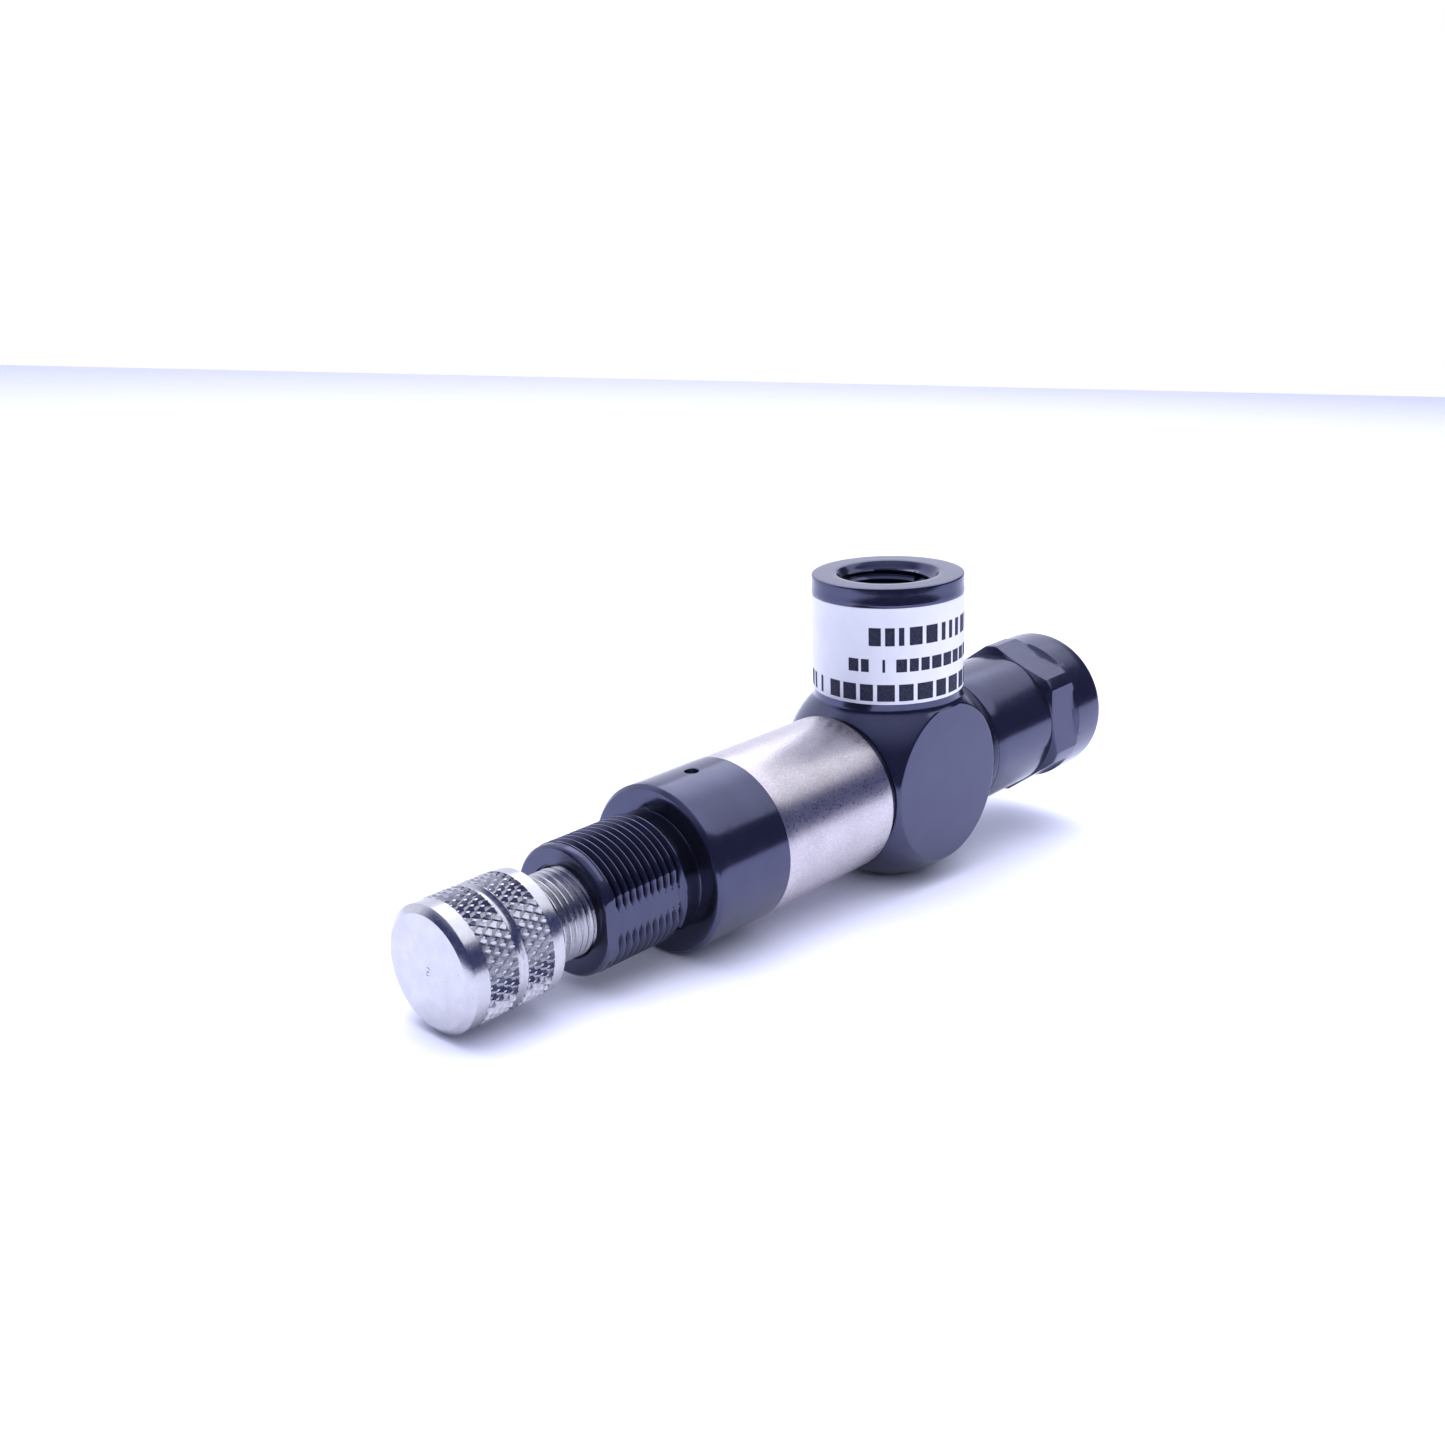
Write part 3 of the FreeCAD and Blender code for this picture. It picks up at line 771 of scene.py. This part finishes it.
def make_port_body():
    count = 144
    skin = Skin()
    centre = np.array((PORT_X, 0, 0))
    rims = port_flats(skin, count, centre)
    rims.append(port_boss(skin, count, centre))
    port_thread(skin, count, centre)
    port_ball(skin, count, centre, rims)
    port_journal(skin, count, centre)
    piece = skin.build("port_ball_body", "swivel", "port_body", 28, weld=5e-7)
    dress(piece, BLACK_PORT)


# ---------------------------------------------------------------- label

LAP_TURN = math.radians(-38)


def label_radius(turn):
    """Outer radius of the label: the film laps over itself for 14 degrees."""
    past = (turn - LAP_TURN) % TAU
    return BOSS_R + LABEL_T - 0.02 + LAP_T * (past < math.radians(14))


def make_label():
    skin = Skin()

    def lap(along, radius, angle):
        return np.where(radius > BOSS_R + 0.05, label_radius(angle) + (radius - BOSS_R - LABEL_T), radius)

    soft, outer = 0.04, BOSS_R + LABEL_T
    outside = arc((LABEL_Z0, outer - soft), (LABEL_Z0 + soft, outer), (LABEL_Z0, outer), 2)
    outside += spread((LABEL_Z0 + soft, outer), (LABEL_Z1 - soft, outer), 6)
    outside += arc((LABEL_Z1 - soft, outer), (LABEL_Z1, outer - soft), (LABEL_Z1, outer), 2)
    profile = outside + [(LABEL_Z1, BOSS_R), (LABEL_Z0, BOSS_R)]
    lathe(skin, profile + [profile[0]], 360, "Z", (PORT_X, 0, 0), shape=lap)
    piece = skin.build("label_film", "swivel", "label_band", 28)
    dress(piece, WHITE)


def make_print():
    """Three rows of plain blocks, in place of printed words."""
    skin = Skin()
    rows = [(9.45, 11.15, ((-112, -102), (-99, -88), (-85, -75), (-72, -68), (-60, -57), (-48, -38),
                           (-35, -24), (-21, -11), (-8, 5), (8, 19), (22, 35), (38, 48), (51, 63),
                           (66, 76), (79, 90))),
            (12.40, 13.70, ((-30, -22), (-20, -14), (-4, -2), (6, 14), (16, 23), (25, 32), (34, 43), (45, 54),
                            (56, 64), (66, 74), (76, 85), (87, 96))),
            (15.05, 16.85, ((-14, -5), (-2, 5), (8, 12), (16, 26), (29, 39), (43, 47), (51, 55), (59, 64),
                            (68, 78), (81, 92)))]
    facing, ink_height = math.radians(-142.9), 0.008
    for z0, z1, bars in rows:
        for a, b in bars:
            steps = max(2, round(b - a))
            n = steps + 1
            turn = facing + np.radians(np.linspace(a, b, n))
            r = label_radius(turn) + ink_height
            points = [to_space(z, r, turn, "Z", (PORT_X, 0, 0)) for z in (z0, z1)]
            skin.add(np.concatenate(points), [(j, j + 1, n + j + 1, n + j) for j in range(steps)])
    piece = skin.build("label_bars", "swivel", None, 30)
    dress(piece, INK)


# ---------------------------------------------------------------- inlet fitting

LAND_TURN = math.degrees(math.acos(FLAT_D / HEX_R))


def wrench_columns():
    """Angles round the fitting, with a column on each edge of the six flats."""
    turns = []
    for k in range(6):
        middle = 180 - FLAT_TILT + 60 * k
        turns += list(np.linspace(middle - LAND_TURN, middle + LAND_TURN, 49)[:-1])
        turns += list(np.linspace(middle + LAND_TURN, middle + 60 - LAND_TURN, 11)[:-1])
    return np.radians(turns)


def wrench_zone(along, radius, angle):
    """Six flats milled between the barrel and the end band, each with a soft rise at its far end."""
    off = (np.degrees(angle) - 180 + FLAT_TILT + 30) % 60 - 30
    flat = FLAT_D / np.cos(np.radians(off))
    rise = np.clip((along - (HEX_END - FLAT_RISE)) / FLAT_RISE, 0, 1)
    flat = flat + np.maximum(END_R - flat, 0) * rise ** 1.5
    return np.where(along < HEX_END - 1e-6, np.minimum(radius, flat), radius)


def make_inlet():
    cols = wrench_columns()
    skin = Skin()
    lead = [(FILTER_X, 2.75), (23.2, 2.75), (23.2, 3.4), (20.4, 3.4), (20.4, 4.7), (20.7, 5.0),
            (SLEEVE_END, 5.0), (SLEEVE_END, 5.55), (BARREL_X, 5.55), (BARREL_X, 7.2)]
    lead += arc((BARREL_X, 7.25), (BARREL_X + 0.15, BARREL_R), (BARREL_X, BARREL_R), 3)
    lead += spread((BARREL_X + 0.15, BARREL_R), (HEX_X, BARREL_R), 5) + [(HEX_X, BARREL_R)]
    lathe(skin, lead, cols)
    zone = [(HEX_X, BARREL_R)]
    zone += spread((HEX_X, BARREL_R), (HEX_X + 0.38, HEX_R), 10)
    zone += arc((HEX_X + 0.34, HEX_R - 0.09), (HEX_X + 0.50, HEX_R), (HEX_X + 0.38, HEX_R), 3)
    rise_start = HEX_END - FLAT_RISE
    zone += spread((HEX_X + 0.50, HEX_R), (rise_start - 0.01, HEX_R), 5) + [(rise_start, HEX_R)]
    zone += arc((HEX_END - 0.45, HEX_R), (HEX_END - 0.26, HEX_R - 0.09), (HEX_END - 0.35, HEX_R), 3)
    zone += spread((HEX_END - 0.26, HEX_R - 0.09), (HEX_END, END_R), 8) + [(HEX_END, END_R)]
    zone += spread((HEX_END, END_R), (END_X - 0.7, END_R), 3)
    zone += arc((END_X - 0.62, END_R), (END_X, END_R - 0.62), (END_X, END_R), 6)
    zone += spread((END_X, END_R - 0.62), (END_X, 5.3), 3)
    zone += arc((END_X, 5.26), (END_X - 0.08, 5.12), (END_X, 5.18), 2)
    zone += [(END_X - SINK_DEPTH, PIPE_ROOT)]
    lathe(skin, zone, cols, shape=wrench_zone)
    helix(skin, INLET_FLOOR + 0.1, END_X - SINK_DEPTH, PIPE_PITCH, PIPE_CREST, PIPE_ROOT, 240,
          edges=(PIPE_CREST, PIPE_ROOT), fade=(0.3, 0.05), inside=True)
    clip_end, clip_r = 53.8, 4.1
    pocket = [(INLET_FLOOR + 0.1, PIPE_CREST), (INLET_FLOOR, PIPE_CREST), (INLET_FLOOR, FILTER_R),
              (clip_end, FILTER_R), (clip_end, clip_r), (FILTER_FACE, clip_r), (FILTER_FACE, FILTER_R),
              (FILTER_X, FILTER_R), (FILTER_X, 2.75)]
    lathe(skin, pocket, cols)
    piece = skin.build("inlet_fitting_turned", "housing", "inlet_fitting", 18)
    dress(piece, BLACK)


make_knob()
make_bonnet()
make_sleeve()
make_washers()
make_filter()
make_port_body()
make_label()
make_print()
make_inlet()


# ---------------------------------------------------------------- stage, light and camera

def area(name, at, towards, size, power, colour):
    data = bpy.data.lights.new(name, "AREA")
    data.shape = "RECTANGLE"
    data.size, data.size_y = size
    data.energy, data.color = power, colour
    lamp = bpy.data.objects.new(name, data)
    bpy.context.scene.collection.objects.link(lamp)
    lamp.location = at
    lamp.rotation_mode = "QUATERNION"
    lamp.rotation_quaternion = (Vector(towards) - Vector(at)).to_track_quat("-Z", "Y")
    return lamp


def direction(azimuth, elevation):
    """A direction from its angle round from -Y towards +X and its height, in degrees."""
    a, e = math.radians(azimuth), math.radians(elevation)
    return Vector((math.sin(a) * math.cos(e), -math.cos(a) * math.cos(e), math.sin(e)))


# The valve lies on the ball's bottom flat and on the bonnet's front edge.
rest_x = 0.35
ball_x = PORT_X - math.sqrt(BALL_R ** 2 - BOTTOM_Z ** 2)
tilt = math.atan((BOTTOM_Z - BODY_R) / (ball_x - rest_x))
table_mesh = bpy.data.meshes.new("table")
# its near edge lies close to the camera, because the port's rim reflects something dark there
near, side = -0.0685, 1.2
forward, across = Vector((0.727, 0.687, 0)), Vector((0.687, -0.727, 0))
corners = [forward * a + across * b for a, b in ((near, -side), (near, side), (side, side), (side, -side))]
table_mesh.from_pydata([tuple(c) for c in corners], [], [(0, 1, 2, 3)])
table = bpy.data.objects.new("table", table_mesh)
bpy.context.scene.collection.objects.link(table)
table.rotation_euler = (0, tilt, 0)
table.location = Vector((rest_x, 0, -BODY_R - 0.01)) * MM
paper = Shader("white_table", Metallic=0.0, Roughness=0.6, IOR=1.45, Specular_IOR_Level=0.25)
paper.base(paper.colours(paper.noise(40, 4), (0.3, (0.80, 0.81, 0.94)), (0.7, (0.82, 0.83, 0.95))))
paper.bump(paper.noise(1500, 3), 0.00002, 0.3)
table_mesh.materials.append(paper.m)

# The camera stands where the photographer's did.
azimuth, elevation, roll = -46.652, 18.05, math.radians(-2.151)
eye = Vector((-91.19, -95.01, 56.48)) * MM
back = direction(azimuth, elevation)
right = direction(azimuth + 90, 0)
up = back.cross(right)
cos_roll, sin_roll = math.cos(roll), math.sin(roll)
camera_data = bpy.data.cameras.new("camera")
camera_data.sensor_width = 36.0
camera_data.lens = 39.8658
camera_data.clip_start, camera_data.clip_end = 0.005, 20
camera = bpy.data.objects.new("camera", camera_data)
bpy.context.scene.collection.objects.link(camera)
axes = Matrix((cos_roll * right + sin_roll * up, cos_roll * up - sin_roll * right, back)).transposed()
camera.matrix_world = Matrix.Translation(eye) @ axes.to_4x4()
bpy.context.scene.camera = camera

target = Vector((0.02, 0, 0))
daylight = (0.94, 0.95, 1.0)
area("window", target + 1.1 * direction(92, 50), target, (1.7, 0.75), 5.0, daylight)
for name, place, size, power in (("overhead", direction(150, 87), 0.9, 10.0),
                                 ("front", direction(-20, 45), 0.9, 5.0)):
    fill = area(name, target + place, target, (size, size), power, daylight)
    fill.visible_glossy = False


def studio():
    """A room that is bright behind the valve and overhead, and dim on the camera's side."""
    world = bpy.data.worlds.new("studio")
    world.use_nodes = True
    tree = world.node_tree
    link = tree.links.new

    def node(kind, **props):
        n = tree.nodes.new(kind)
        for key, value in props.items():
            setattr(n, key, value)
        return n

    def facing(towards, low, high, amount):
        dot = node("ShaderNodeVectorMath", operation="DOT_PRODUCT")
        dot.inputs[1].default_value = towards
        span = node("ShaderNodeMapRange", interpolation_type="SMOOTHSTEP")
        for key, v in (("From Min", low), ("From Max", high), ("To Min", 0), ("To Max", amount)):
            span.inputs[key].default_value = v
        link(where.outputs["Generated"], dot.inputs[0])
        link(dot.outputs["Value"], span.inputs["Value"])
        return span.outputs["Result"]

    def lit(colour, strength=None):
        shade = node("ShaderNodeBackground")
        shade.inputs["Color"].default_value = (*colour, 1)
        shade.inputs["Strength"].default_value = 1.0
        if strength:
            link(strength, shade.inputs["Strength"])
        return shade.outputs[0]

    def plus(a, b):
        add = node("ShaderNodeAddShader")
        link(a, add.inputs[0])
        link(b, add.inputs[1])
        return add.outputs[0]

    where = node("ShaderNodeTexCoord")
    dim = lit((0.052, 0.062, 0.19))
    behind = lit((0.92, 0.94, 1.04), facing(direction(160, 5), 0.28, 0.70, 1.15))
    above = lit((0.85, 0.88, 1.05), facing((0, 0, 1), 0.50, 0.95, 0.65))
    room = plus(plus(dim, behind), above)
    seen = node("ShaderNodeMixShader")
    link(node("ShaderNodeLightPath").outputs["Is Camera Ray"], seen.inputs["Fac"])
    link(room, seen.inputs[1])
    link(lit((1, 1, 1)), seen.inputs[2])
    link(seen.outputs[0], tree.nodes["World Output"].inputs["Surface"])
    bpy.context.scene.world = world


studio()
bpy.context.scene.view_settings.view_transform = "Standard"
